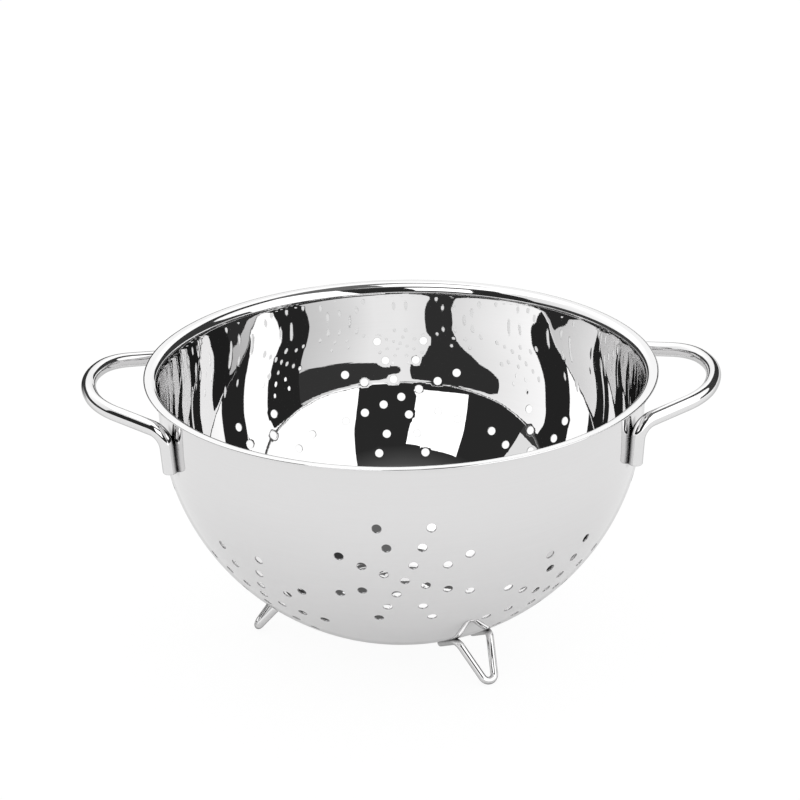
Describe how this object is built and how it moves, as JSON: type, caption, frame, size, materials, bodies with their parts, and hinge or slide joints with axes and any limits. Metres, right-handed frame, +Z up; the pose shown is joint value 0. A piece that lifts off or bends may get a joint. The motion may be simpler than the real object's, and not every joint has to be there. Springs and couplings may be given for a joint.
{
  "type": "colander",
  "caption": "Round polished steel colander: a deep bowl with a flat rim and star-shaped groups of drain holes, two bent-rod side handles and bent-wire feet.",
  "frame": {"origin": "on the table under the bowl's centre, where the three feet stand", "axes": "+Z up, +X towards the right handle, -Y the front seen in the picture"},
  "size_m": [0.2989, 0.24, 0.1359],
  "materials": {
    "bowl_steel": "polished",
    "handle_rod": "polished",
    "foot_wire": "polished"
  },
  "bodies": {
    "root": {"bowl": "bowl_steel", "left_handle": "handle_rod", "right_handle": "handle_rod", "front_foot": "foot_wire", "left_foot": "foot_wire", "back_foot": "foot_wire"}
  },
  "joints": []
}
